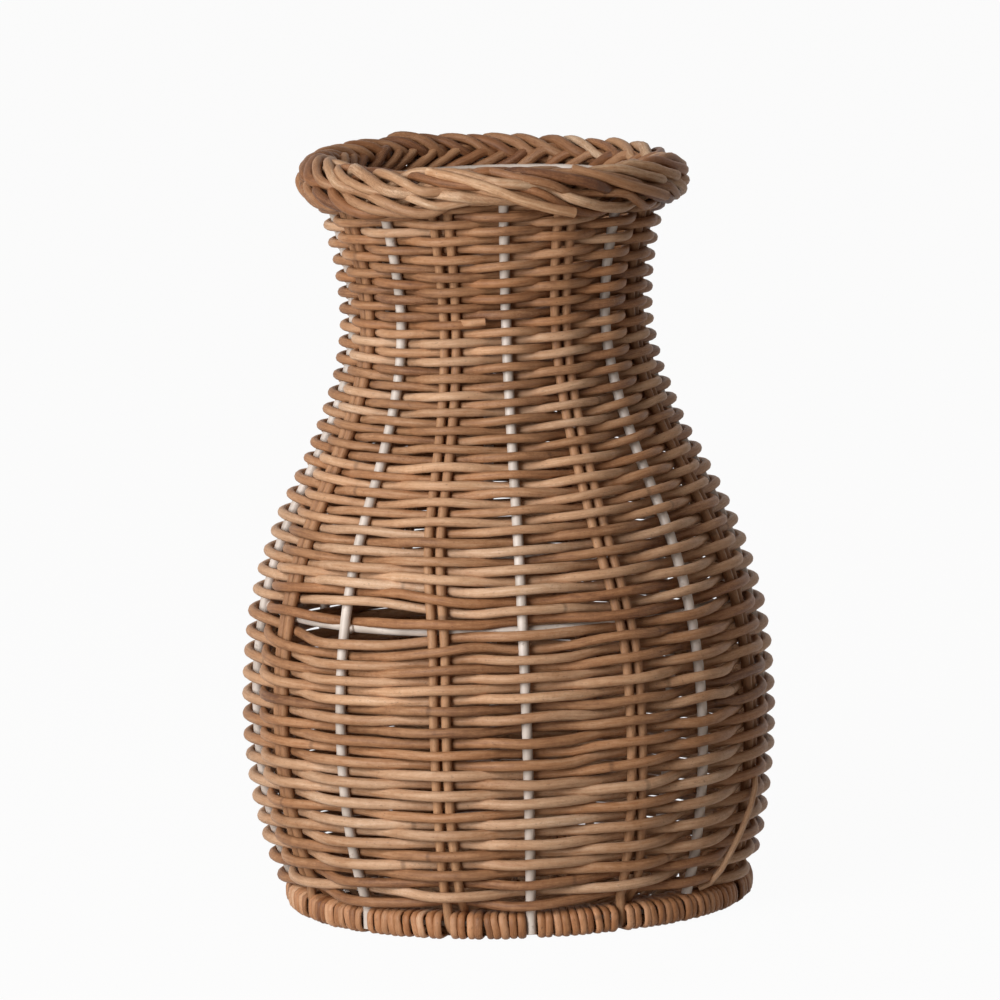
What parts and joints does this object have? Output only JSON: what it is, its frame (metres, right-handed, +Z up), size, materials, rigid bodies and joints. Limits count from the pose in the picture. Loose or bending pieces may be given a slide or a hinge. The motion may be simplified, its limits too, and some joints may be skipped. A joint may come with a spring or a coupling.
{
  "type": "wicker vase",
  "caption": "Bellied vase of round rattan rods woven over a painted wire frame, with a narrow neck, a flared plaited border and a bound base ring.",
  "frame": {"origin": "centre of the base ring on the plane it stands on", "axes": "+Z up along the vase's axis, -Y towards the wire that faces the viewer, +X to the viewer's right"},
  "size_m": [0.255, 0.255, 0.362],
  "materials": {
    "painted_steel": "satin warm grey paint",
    "rattan_stake": "natural matt",
    "rattan_binding": "natural matt",
    "rattan_rod": "natural matt"
  },
  "bodies": {
    "root": {"base_hoop": "painted_steel", "belly_hoop": "painted_steel", "rim_hoop": "painted_steel", "wire_1": "painted_steel", "wire_2": "painted_steel", "wire_3": "painted_steel", "wire_4": "painted_steel", "wire_5": "painted_steel", "wire_6": "painted_steel", "wire_7": "painted_steel", "wire_8": "painted_steel", "stake_1": "rattan_stake", "stake_2": "rattan_stake", "stake_3": "rattan_stake", "stake_4": "rattan_stake", "stake_5": "rattan_stake", "stake_6": "rattan_stake", "stake_7": "rattan_stake", "stake_8": "rattan_stake", "base_binding_1": "rattan_binding", "base_binding_2": "rattan_binding", "base_binding_3": "rattan_binding", "base_binding_4": "rattan_binding", "base_binding_5": "rattan_binding", "base_binding_6": "rattan_binding", "base_binding_7": "rattan_binding", "base_binding_8": "rattan_binding", "woven_belly": "rattan_rod", "woven_shoulder": "rattan_rod", "woven_floor": "rattan_rod", "plaited_border": "rattan_rod"}
  },
  "joints": []
}
